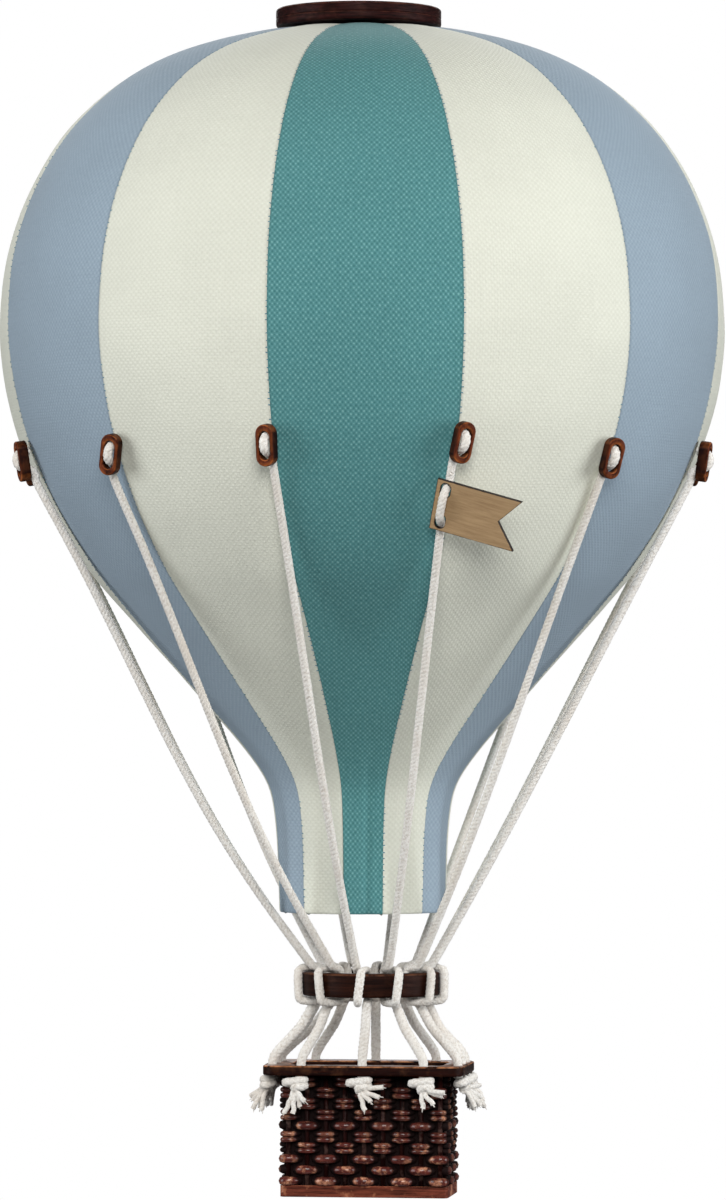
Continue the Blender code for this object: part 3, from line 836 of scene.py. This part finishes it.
def declareCloth(line, look):
    # Works out the flat cut, widest across with both turnings, the length of the outline and the area, and
    # keeps none of it
    widths = [2 * math.pi * spot.x / look["count"] + 2 * look["flange"] for spot in line]
    lengths = [(b - a).length for a, b in zip(line, line[1:])]
    area = sum(step * (a + b) / 2 for step, a, b in zip(lengths, widths, widths[1:]))


def makeGore(index, look):
    bm = bmesh.new()
    for layer in ("run", "across", "seam"):
        bm.verts.layers.float.new(layer)
    bm.edges.layers.float.new("crease_edge")
    line = smoothWay([(r, z, 0.0) for r, z in look["outline"]], look["rowStep"])
    line += [Vector((r, z, 0.0)) for r, z in look["hem"]]
    middle = look["turn"] + index * 360.0 / look["count"]
    half = 180.0 / look["count"]
    spinGore(bm, line, middle - half, half, look)
    drapeGore(bm, index, middle, half, look)
    turnInSeams(bm, look)
    bm.normal_update()
    centre, _ = direction(middle)
    front = max(bm.faces, key=lambda face: face.calc_center_median().dot(centre))
    if front.normal.dot(centre) < 0:
        bmesh.ops.reverse_faces(bm, faces=bm.faces)
    uv = bm.loops.layers.uv.new("cloth")
    run, across = bm.verts.layers.float["run"], bm.verts.layers.float["across"]
    for loop in [loop for face in bm.faces for loop in face.loops]:
        loop[uv].uv = ((loop.vert[across] + look["clothShift"] * index) * mm, loop.vert[run] * mm)
    colour = look["colours"][index % len(look["colours"])]
    name = "gore_%02d" % (index + 1)
    gore = finishMesh(bm, name + "_cloth", cottons[colour], colour + "_fabric", [name])
    smooth = gore.modifiers.new("smooth", "SUBSURF")
    smooth.levels = smooth.render_levels = 1
    smooth.boundary_smooth = "PRESERVE_CORNERS"
    shell = gore.modifiers.new("clothThickness", "SOLIDIFY")
    shell.thickness = look["thick"] * mm
    shell.offset = -1.0
    declareCloth(line, look)


for index in range(goreSettings["count"]):
    makeGore(index, goreSettings)
print("envelope made")


# Sewing thread that shows over the seams; some stitches are missed
stitchSettings = {"pitch": 1.75, "length": 0.30, "thick": 0.17, "missed": 0.2, "seed": 11,
                  "shift": 0.25, "lengths": (0.6, 1.3), "slants": (-0.5, 0.5), "reach": 0.7,
                  "colour": (0.045, 0.140, 0.190)}


def makeThread(look):
    mat, tree, shader = newMaterial("sewingThread")
    fuzz = addGroup(tree, fibreGroup, {"Vector": coordinates(tree, "Object"), "Scale": 3000.0})["Fuzz"]
    dark, light = [[v * share for v in look["colour"]] for share in (0.6, 1.9)]
    plug(tree, shader, {"Base Color": addMix(tree, addRange(tree, fuzz, 0.3, 0.6), dark, light),
                        "Roughness": addRange(tree, fuzz, 0.0, 1.0, 0.9, 0.7)})
    return mat


def makeStitches(look, rng):
    bm = bmesh.new()
    line = smoothWay([(r, z, 0.0) for r, z in goreSettings["outline"][1:]], look["pitch"])
    for index in range(goreSettings["count"]):
        seamAt = seamPlace(index + 1)
        toCream = 1 if index % 2 == 0 else -1
        for a, b in zip(line[1:], line[2:]):
            if rng.random() < look["missed"]:
                continue
            spot = a.lerp(b, rng.random() * look["shift"])
            out, side = direction(goreSettings["turn"] + seamAt + strayed(seamAt, spot.y))
            down = (out * (b.x - a.x) + Vector((0, 0, b.y - a.y))).normalized()
            normal = side.cross(down).normalized()
            length = look["length"] * rng.uniform(*look["lengths"])
            heading = (side * toCream + down * rng.uniform(*look["slants"])).normalized()
            drawn = goreSettings["tuck"] + scallop(spot.y, goreSettings)
            place = out * (spot.x - drawn) + Vector((0, 0, spot.y)) + heading * length * look["reach"]
            axes = Matrix((heading, normal.cross(heading), normal)).transposed().to_4x4()
            size = Matrix.Diagonal((length, look["thick"], look["thick"], 1.0))
            bmesh.ops.create_icosphere(bm, subdivisions=1, radius=1.0,
                                       matrix=Matrix.Translation(place) @ axes @ size)
    finishMesh(bm, "seam_stitches", makeThread(look), "teal_fabric")


makeStitches(stitchSettings, random.Random(stitchSettings["seed"]))
print("stitches made")


def edgesOf(made):
    return list(dict.fromkeys(e for v in made["verts"] for e in v.link_edges))


def raiseFaces(bm, height):
    # Flat faces become a slab
    grown = bmesh.ops.extrude_face_region(bm, geom=bm.faces[:])
    bmesh.ops.translate(bm, vec=(0, 0, height), verts=vertsOf(grown))
    bmesh.ops.recalc_face_normals(bm, faces=bm.faces)


def roundSharp(bm, width):
    sharp = [e for e in bm.edges if e.calc_face_angle(0.0) > math.radians(60)]
    bmesh.ops.bevel(bm, geom=sharp, offset=width, segments=3, profile=0.5, affect="EDGES", material=-1,
                    clamp_overlap=True)


# Eyelets: a rounded link of dark wood on each seam
eyeletSettings = {"tall": 11.2, "wide": 5.3, "thick": 3.0, "slotTall": 7.6, "slotWide": 3.1, "round": 0.42,
                  "around": 36}


def stadiumEdges(bm, tall, wide, count, middle=0.0):
    # A circle pulled apart into a link's outline
    made = bmesh.ops.create_circle(bm, segments=count, radius=wide / 2, cap_ends=False,
                                   matrix=Matrix.Rotation(math.pi / count, 4, "Z"))
    for vert in made["verts"]:
        vert.co.y += middle + math.copysign((tall - wide) / 2, vert.co.y)
    return edgesOf(made)


def makeEyelet(stay, look):
    bm = bmesh.new()
    loops = stadiumEdges(bm, look["tall"], look["wide"], look["around"])
    loops += stadiumEdges(bm, look["slotTall"], look["slotWide"], look["around"])
    bmesh.ops.bridge_loops(bm, edges=loops)
    raiseFaces(bm, look["thick"])
    bmesh.ops.translate(bm, vec=(0, 0, -look["thick"] / 2), verts=bm.verts)
    roundSharp(bm, look["round"])
    # Painted shade: the walls behind the link's front face are marked to stay nearly black
    wall = bm.verts.layers.float.new("wall")
    for vert in bm.verts:
        vert[wall] = clamped((look["thick"] / 2 - vert.co.z) / look["round"] - 0.2)
    bmesh.ops.transform(bm, matrix=eyeletPlace(stay, ropeSettings), verts=bm.verts)
    node = stay["name"].replace("stay", "eyelet")
    evenNormals(finishMesh(bm, node + "_link", woods["eyelet"], "dark_wood", [node]))


for stay in stays:
    makeEyelet(stay, eyeletSettings)
print("eyelets made")


# Top disc: two plies with a fine line between them. Radius and height of each point
discSettings = {
    "name": "crown_disc", "node": "top_disc", "wood": "disc", "middle": -1.0, "steps": 96,
    "outline": [
        (0.0, 0.0), (12.0, 0.0), (22.0, 0.0), (22.5, -0.08), (22.85, -0.35), (23.0, -0.75), (23.0, -2.55),
        (22.88, -2.7), (22.7, -2.8), (22.88, -2.9), (23.0, -3.05), (23.0, -4.4), (22.88, -4.8),
        (22.6, -5.02), (22.1, -5.1), (12.0, -5.1), (0.0, -5.1)],
}
ringSettings = {
    "name": "rope_ring", "node": "load_ring", "wood": "ring", "middle": ropeSettings["ringX"], "steps": 112,
    "outline": [
        (15.0, -268.5), (15.12, -268.15), (15.4, -267.88), (15.8, -267.8), (18.3, -267.8),
        (18.75, -267.88), (19.08, -268.15), (19.2, -268.6), (19.2, -271.0), (19.2, -273.7),
        (19.08, -274.15), (18.75, -274.42), (18.3, -274.5), (15.8, -274.5), (15.4, -274.42),
        (15.12, -274.15), (15.0, -273.8), (15.0, -271.0)],
}


def makeTurned(look):
    # A ring, or a disc whose outline begins and ends on its axis
    bm = bmesh.new()
    verts = [bm.verts.new((look["middle"] + r, 0.0, z)) for r, z in look["outline"]]
    edges = [bm.edges.new(pair) for pair in zip(verts, verts[1:])]
    if look["outline"][0][0] > 0:
        edges.append(bm.edges.new((verts[-1], verts[0])))
    bmesh.ops.spin(bm, geom=edges, cent=(look["middle"], 0, 0), axis=(0, 0, 1), angle=2 * math.pi,
                   steps=look["steps"], use_merge=True)
    bmesh.ops.remove_doubles(bm, verts=bm.verts, dist=0.001)
    bmesh.ops.recalc_face_normals(bm, faces=bm.faces)
    evenNormals(finishMesh(bm, look["name"], woods[look["wood"]], "dark_wood", [look["node"]]))


makeTurned(discSettings)
makeTurned(ringSettings)
print("disc and ring made")


# Basket: boards above and below, stakes and woven reeds between them
basketSettings = {
    "width": 47.3, "depth": 24.2, "rimWidth": 56.0, "rimDepth": 32.6, "rimTop": ropeSettings["rimTop"],
    "rimThick": ropeSettings["rimThick"], "rimRound": 0.7, "rimCorner": 4.0, "openWidth": 42.9,
    "openDepth": 19.8, "openCorner": 1.5, "hole": 1.5, "bottom": -330.0, "baseThick": 3.2, "baseIn": 0.2,
    "baseRound": 0.4, "baseCorner": 1.6, "shadeSheetCorner": 1.2, "column": 5.3,
    "stakeRadius": 0.7, "stakeIn": 1.6, "singleIn": 0.2, "swing": 1.45, "sideSwing": 0.95, "flat": 1.35,
    "shadeSheetIn": 2.3, "shadeSheetThick": 0.4, "sunk": 0.3, "firstRow": -298.0, "rowPitch": 3.06,
    "rows": ["pair", "pair", "pair", "pair", "single", "pair", "pair", "single", "single", "single"],
    "pairRadius": 0.76, "singleRadius": 1.30, "apart": 0.78, "pull": 0.35, "step": 0.62, "seed": 5,
    "pairSizes": (0.95, 1.04), "stakeSizes": (0.9, 1.05), "waver": 0.12, "waverSize": 0.35,
    "rowShift": 7.0, "swell": 0.08, "swellSize": 0.6,
}


def roundedEdges(bm, width, depth, corner, segments):
    # A rectangle with its corners rounded, as a loop of edges
    made = bmesh.ops.create_grid(bm, x_segments=1, y_segments=1, size=0.5)
    bmesh.ops.scale(bm, vec=(width, depth, 1), verts=made["verts"])
    bmesh.ops.bevel(bm, geom=made["verts"], offset=corner, segments=segments, profile=0.5,
                    affect="VERTICES", material=-1)
    face = max(bm.faces, key=lambda f: f.calc_area())
    edges = list(face.edges)
    bmesh.ops.delete(bm, geom=[face], context="FACES_ONLY")
    return edges


def holeEdges(bm, x, y, radius):
    place = Matrix.Translation((x, y, 0))
    return edgesOf(bmesh.ops.create_circle(bm, segments=16, radius=radius, matrix=place))


def finishBoard(bm, name, node, thick, top, edge, wood):
    # A flat board from its outline and openings, rounded along its edges
    bmesh.ops.triangle_fill(bm, edges=bm.edges[:], use_beauty=True)
    raiseFaces(bm, -thick)
    roundSharp(bm, edge)
    bmesh.ops.transform(bm, matrix=basketPlace(top), verts=bm.verts)
    evenNormals(finishMesh(bm, name, woods[wood], "dark_wood", [node]))


def makeRim(look):
    bm = bmesh.new()
    roundedEdges(bm, look["rimWidth"], look["rimDepth"], look["rimCorner"], 6)
    roundedEdges(bm, look["openWidth"], look["openDepth"], look["openCorner"], 4)
    for stay in stays:
        holeEdges(bm, stay["holeX"], stay["holeY"], look["hole"])
    finishBoard(bm, "rim_board", "basket_rim", look["rimThick"], look["rimTop"], look["rimRound"], "rim")


def makeBase(look):
    bm = bmesh.new()
    inset = 2 * look["baseIn"]
    roundedEdges(bm, look["width"] - inset, look["depth"] - inset, look["baseCorner"], 5)
    finishBoard(bm, "base_board", "basket_base", look["baseThick"], look["bottom"] + look["baseThick"],
                look["baseRound"], "base")


def stakePlaces(look):
    # Stakes in order around the basket, with their outward sides, and the corners that follow some of them
    halfW = look["width"] / 2 - look["stakeIn"]
    halfD = look["depth"] / 2 - look["stakeIn"]
    front = [(k * look["column"], -halfD, (0, -1)) for k in range(-4, 5)]
    right = [(halfW, (k + 0.5) * look["column"], (1, 0)) for k in range(-2, 2)]
    back = [(-k * look["column"], halfD, (0, 1)) for k in range(-4, 5)]
    left = [(-halfW, -(k + 0.5) * look["column"], (-1, 0)) for k in range(-2, 2)]
    corners = {8: (halfW, -halfD), 12: (halfW, halfD), 21: (-halfW, halfD), 25: (-halfW, -halfD)}
    return front + right + back + left, corners


def reedWay(row, z, inset, look):
    # Over and under the stakes in turn; a corner is passed half way
    stakes, corners = stakePlaces(look)
    points = []
    for i, (x, y, (outX, outY)) in enumerate(stakes):
        over = 1 if (i + row) % 2 == 1 else -1
        reach = over * look["sideSwing" if outX else "swing"] - inset
        for along in (-look["flat"], look["flat"]):
            points.append((x + outX * reach - outY * along, y + outY * reach + outX * along, z, 1.0))
        if i in corners:
            cx, cy = corners[i]
            pull = look["pull"]
            points.append((cx - math.copysign(pull, cx), cy - math.copysign(pull, cy), z, 1.0))
    return [basketPoint(*spot.xyz) for spot in smoothWay(points, look["step"], closed=True)]


def makeReeds(look, rng):
    lines = []
    for row, kind in enumerate(look["rows"]):
        z = look["firstRow"] - look["rowPitch"] * row
        single = kind == "single"
        for shift in ((0.0,) if single else (look["apart"], -look["apart"])):
            size = (look["singleRadius"] / look["pairRadius"]) if single else rng.uniform(*look["pairSizes"])
            line = []
            for spot in reedWay(row, z + shift, look["singleIn"] if single else 0.0, look):
                shifted = spot * look["waverSize"] + Vector((0, 0, row * look["rowShift"]))
                waver = noise.noise(shifted) * look["waver"]
                swell = 1.0 + look["swell"] * noise.noise(spot * look["swellSize"])
                line.append((spot + Vector((0, 0, waver)), size * swell))
            lines.append(line)
    makeStrands("woven_reeds", lines, look["pairRadius"], ["basket_walls"],
                finish=(reedMaterial, "wicker"), closed=True)


def makeStakes(look, rng, bottom, top):
    bm = bmesh.new()
    for x, y, _ in stakePlaces(look)[0]:
        place = Matrix.Translation(basketPoint(x, y, (top + bottom) / 2))
        radius = look["stakeRadius"]
        bmesh.ops.create_cone(bm, cap_ends=True, segments=10, radius1=radius,
                              radius2=radius * rng.uniform(*look["stakeSizes"]), depth=top - bottom,
                              matrix=place)
    finishMesh(bm, "basket_stakes", woods["stake"], "wicker")


def makeShadeSheet(look, bottom, top):
    # A near-black sheet behind the reeds: painted shade for the basket's inside, seen through the weave
    bm = bmesh.new()
    inset = 2 * look["shadeSheetIn"]
    edges = roundedEdges(bm, look["width"] - inset, look["depth"] - inset, look["shadeSheetCorner"], 3)
    grown = bmesh.ops.extrude_edge_only(bm, edges=edges)
    bmesh.ops.translate(bm, vec=(0, 0, top - bottom), verts=vertsOf(grown))
    bmesh.ops.solidify(bm, geom=bm.faces[:], thickness=look["shadeSheetThick"])
    bmesh.ops.recalc_face_normals(bm, faces=bm.faces)
    bmesh.ops.transform(bm, matrix=basketPlace(bottom), verts=bm.verts)
    finishMesh(bm, "basket_shade_sheet", reedMaterial, "wicker", smooth=False)


def makeBasket(look, rng):
    makeRim(look)
    makeBase(look)
    makeReeds(look, rng)
    bottom = look["bottom"] + look["baseThick"] - look["sunk"]
    top = look["rimTop"] - look["rimThick"] + look["sunk"]
    makeStakes(look, rng, bottom, top)
    makeShadeSheet(look, bottom, top)


makeBasket(basketSettings, random.Random(basketSettings["seed"]))
print("basket made")


# Tag: a bare wooden flag, its edges dark from cutting
def makeTagWood():
    mat, tree, shader = newMaterial("bareTagWood")
    uv = coordinates(tree, "UV")
    grain = addGroup(tree, grainGroup, {"Vector": addMapping(tree, uv, (120, 1500, 1)), "Waviness": 0.5})
    colour = addMix(tree, grain["Streaks"], (0.29, 0.180, 0.085), (0.42, 0.280, 0.145))
    colour = addMix(tree, multiply(tree, grain["Pores"], 0.35), colour, (0.19, 0.11, 0.055))
    uneven = addRange(tree, addNoise(tree, uv, 900.0), 0.3, 0.7, -0.18, 0.18)
    ragged = addMath(tree, "ADD", meshMark(tree, "burn"), uneven)
    scorch = addRange(tree, ragged, 0.25, 0.85)
    plug(tree, shader, {"Base Color": addMix(tree, scorch, colour, (0.014, 0.006, 0.004)),
                        "Roughness": addRange(tree, grain["Streaks"], 0.0, 1.0, 0.7, 0.55),
                        "Normal": addBump(tree, grain["Height"], 0.3, 0.00006)})
    return mat


def makeTag(look):
    bm = bmesh.new()
    left, right, half = look["left"], look["right"], look["half"]
    outline = [(left, -half), (right, -half), (look["notch"], 0.0), (right, half), (left, half)]
    verts = [bm.verts.new((x, y, 0.0)) for x, y in outline]
    for pair in zip(verts, verts[1:] + verts[:1]):
        bm.edges.new(pair)
    for middle in (-look["slitAt"], look["slitAt"]):
        stadiumEdges(bm, look["slitTall"], look["slitWide"], 20, middle)
    bmesh.ops.triangle_fill(bm, edges=bm.edges[:], use_beauty=True)
    inner = [e for e in bm.edges if not e.is_boundary]
    bmesh.ops.dissolve_limit(bm, angle_limit=0.01, verts=bm.verts, edges=inner)
    raiseFaces(bm, look["thick"])
    burn = bm.verts.layers.float.new("burn")
    for vert in bm.verts:
        vert[burn] = 1.0
    for side in (1, -1):
        flat = [f for f in bm.faces if f.normal.z * side > 0.9]
        bmesh.ops.inset_region(bm, faces=flat, thickness=look["burn"], use_even_offset=True,
                               use_boundary=True)
        for vert in {v for f in flat for v in f.verts}:
            vert[burn] = 0.0
    uv = bm.loops.layers.uv.new("flat")
    for loop in [loop for face in bm.faces for loop in face.loops]:
        loop[uv].uv = (loop.vert.co.x * mm, (loop.vert.co.y + loop.vert.co.z) * mm)
    bmesh.ops.translate(bm, vec=(0, 0, look["offset"] - look["thick"] / 2), verts=bm.verts)
    bmesh.ops.transform(bm, matrix=tagPlace, verts=bm.verts)
    finishMesh(bm, "flag_tag", makeTagWood(), "tag_wood", ["tag_plate"], "tag", smooth=False)


makeTag(tagSettings)
print("tag made")


# Pale floor well below, and soft studio light: place, size, power and colour of each lamp
stageSettings = {
    "floor": -2.4, "reach": 0.9, "grey": 0.86, "rough": 0.9, "background": (1.0, 1.0, 1.0),
    "aim": (0.0, 0.0, -0.15),
    # Height in the sky from nadir to zenith, brightness
    "sky": [(0.0, 0.08), (0.22, 0.08), (0.30, 0.15), (0.48, 0.17), (0.53, 0.10), (1.0, 0.06)],
    "tint": (0.98, 1.0, 1.02),
    "lights": [
        ("frontBox", (0.10, -1.93, 0.64), 1.0, 33.0, (1.0, 0.985, 0.965)),
        ("rightBox", (1.93, -0.52, 0.02), 1.3, 28.0, (0.97, 0.985, 1.0)),
        ("leftBox", (-1.93, -0.52, 0.02), 1.3, 24.0, (0.97, 0.985, 1.0)),
        ("backBox", (0.0, 1.75, 0.85), 1.3, 30.0, (0.98, 0.99, 1.0)),
    ],
}


def makeFloor(look):
    bm = bmesh.new()
    bmesh.ops.create_circle(bm, cap_ends=True, segments=96, radius=look["reach"],
                            matrix=Matrix.Translation((0, 0, look["floor"])))
    mesh = bpy.data.meshes.new("floor")
    bm.to_mesh(mesh)
    bm.free()
    floor = bpy.data.objects.new("floor", mesh)
    mat, tree, shader = newMaterial("paleFloor")
    plug(tree, shader, {"Base Color": (*[look["grey"]] * 3, 1.0), "Roughness": look["rough"]})
    mesh.materials.append(mat)
    bpy.context.scene.collection.objects.link(floor)


def makeLights(look):
    for name, place, size, power, colour in look["lights"]:
        data = bpy.data.lights.new(name, "AREA")
        data.size = size
        data.energy = power
        data.color = colour
        lamp = bpy.data.objects.new(name, data)
        lamp.location = place
        lamp.rotation_euler = (Vector(look["aim"]) - Vector(place)).to_track_quat("-Z", "Y").to_euler()
        bpy.context.scene.collection.objects.link(lamp)


def makeWorld(look):
    # White to the camera; for everything else a dim sky that is brightest just below the horizon
    world = bpy.data.worlds.new("studio")
    world.use_nodes = True
    tree = world.node_tree
    tree.nodes.clear()
    rise = addRange(tree, splitVector(tree, coordinates(tree, "Generated"))[2], -1.0, 1.0)
    ramp = addNode(tree, "ShaderNodeValToRGB", {"Fac": rise})
    steps = ramp.color_ramp.elements
    steps.remove(steps[1])
    for place, level in look["sky"]:
        step = steps.new(place) if place > 0 else steps[0]
        step.color = (*[level * share for share in look["tint"]], 1.0)
    seen = addNode(tree, "ShaderNodeLightPath").outputs["Is Camera Ray"]
    colour = addMix(tree, seen, ramp.outputs["Color"], look["background"])
    glow = addNode(tree, "ShaderNodeBackground", {"Color": colour})
    addNode(tree, "ShaderNodeOutputWorld", {"Surface": glow.outputs[0]})
    bpy.context.scene.world = world


makeFloor(stageSettings)
makeLights(stageSettings)
makeWorld(stageSettings)
print("scene made")
